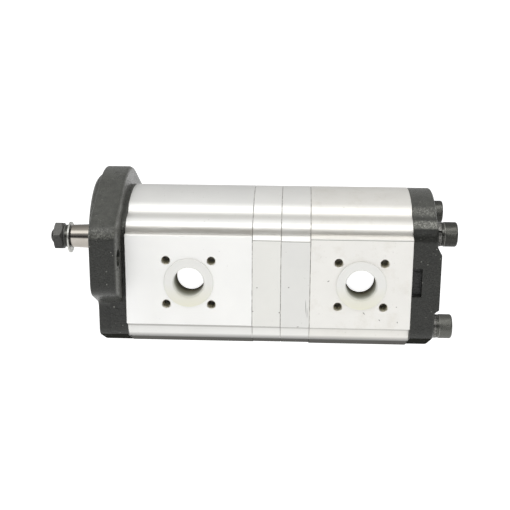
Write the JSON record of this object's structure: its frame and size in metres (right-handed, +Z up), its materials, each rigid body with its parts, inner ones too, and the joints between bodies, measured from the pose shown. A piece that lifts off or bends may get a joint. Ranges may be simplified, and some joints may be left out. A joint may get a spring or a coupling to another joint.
{
  "type": "tandem hydraulic gear pump",
  "caption": "Tandem external gear pump with a two-bolt flange, pilot and tapered shaft, stacked aluminium housings and iron covers.",
  "frame": {"origin": "centre of the pilot on the flange's mounting face", "axes": "+X along the drive shaft towards the rear cover, the shaft end points to -X; +Z up, driven gears below the drive gears; inlet ports face -Y"},
  "size_m": [0.262, 0.1248, 0.1154],
  "materials": {
    "cast_iron_black": "black painted sand casting, semi-matt",
    "housing_aluminium": "extruded and machined, satin",
    "plate_aluminium": "extruded and machined, satin",
    "block_aluminium": "die cast and machined",
    "black_screw_steel": "black oxide",
    "washer_steel": "phosphated",
    "ground_steel": "ground",
    "bush_bronze": "lined bronze",
    "seal_rubber": "moulded",
    "backup_plastic": "moulded",
    "plug_plastic": "moulded, slightly translucent"
  },
  "bodies": {
    "housing": {"front_cover": "cast_iron_black", "front_housing": "housing_aluminium", "middle_plate_front": "plate_aluminium", "middle_plate_rear": "plate_aluminium", "rear_housing": "housing_aluminium", "rear_cover": "cast_iron_black", "tie_screws": "black_screw_steel", "tie_screw_washers": "black_screw_steel", "dowel_pins": "ground_steel", "housing_seals": "seal_rubber", "plate_seal": "seal_rubber", "front_bearing_block_a": "block_aluminium", "rear_bearing_block_a": "block_aluminium", "front_bearing_block_b": "block_aluminium", "rear_bearing_block_b": "block_aluminium", "bearing_bushes_a": "bush_bronze", "bearing_bushes_b": "bush_bronze", "axial_seals_a": "seal_rubber", "axial_seals_b": "seal_rubber", "backup_rings_a": "backup_plastic", "backup_rings_b": "backup_plastic", "shaft_seal": "seal_rubber", "shaft_seal_spring": "ground_steel", "seal_circlip": "black_screw_steel", "coupling_seal": "seal_rubber"},
    "drive_train": {"drive_shaft_gear": "ground_steel", "woodruff_key": "ground_steel", "shaft_washer": "washer_steel", "shaft_spring_washer": "black_screw_steel", "shaft_nut": "black_screw_steel", "coupling_sleeve": "ground_steel", "rear_drive_gear": "ground_steel"},
    "driven_front": {"driven_gear_front": "ground_steel"},
    "driven_rear": {"driven_gear_rear": "ground_steel"},
    "inlet_plug_front_body": {"inlet_plug_front": "plug_plastic"},
    "inlet_plug_rear_body": {"inlet_plug_rear": "plug_plastic"},
    "outlet_plug_front_body": {"outlet_plug_front": "plug_plastic"},
    "outlet_plug_rear_body": {"outlet_plug_rear": "plug_plastic"}
  },
  "joints": [
    {"name": "drive_spin", "type": "hinge", "parent": "housing", "child": "drive_train", "pos_m": [0, 0, 0], "axis": [1, 0, 0], "continuous": true},
    {"name": "driven_front_spin", "type": "hinge", "parent": "housing", "child": "driven_front", "pos_m": [0, 0, -0.035], "axis": [1, 0, 0], "continuous": true},
    {"name": "driven_rear_spin", "type": "hinge", "parent": "housing", "child": "driven_rear", "pos_m": [0, 0, -0.035], "axis": [1, 0, 0], "continuous": true},
    {"name": "inlet_plug_front_pull", "type": "slide", "parent": "housing", "child": "inlet_plug_front_body", "axis": [0, -1, 0], "range_m": [0, 0.03]},
    {"name": "inlet_plug_rear_pull", "type": "slide", "parent": "housing", "child": "inlet_plug_rear_body", "axis": [0, -1, 0], "range_m": [0, 0.03]},
    {"name": "outlet_plug_front_pull", "type": "slide", "parent": "housing", "child": "outlet_plug_front_body", "axis": [0, 1, 0], "range_m": [0, 0.025]},
    {"name": "outlet_plug_rear_pull", "type": "slide", "parent": "housing", "child": "outlet_plug_rear_body", "axis": [0, 1, 0], "range_m": [0, 0.025]}
  ],
  "couplings": [
    {"joint": "driven_front_spin", "follows": "drive_spin", "ratio": -1},
    {"joint": "driven_rear_spin", "follows": "drive_spin", "ratio": -1}
  ]
}
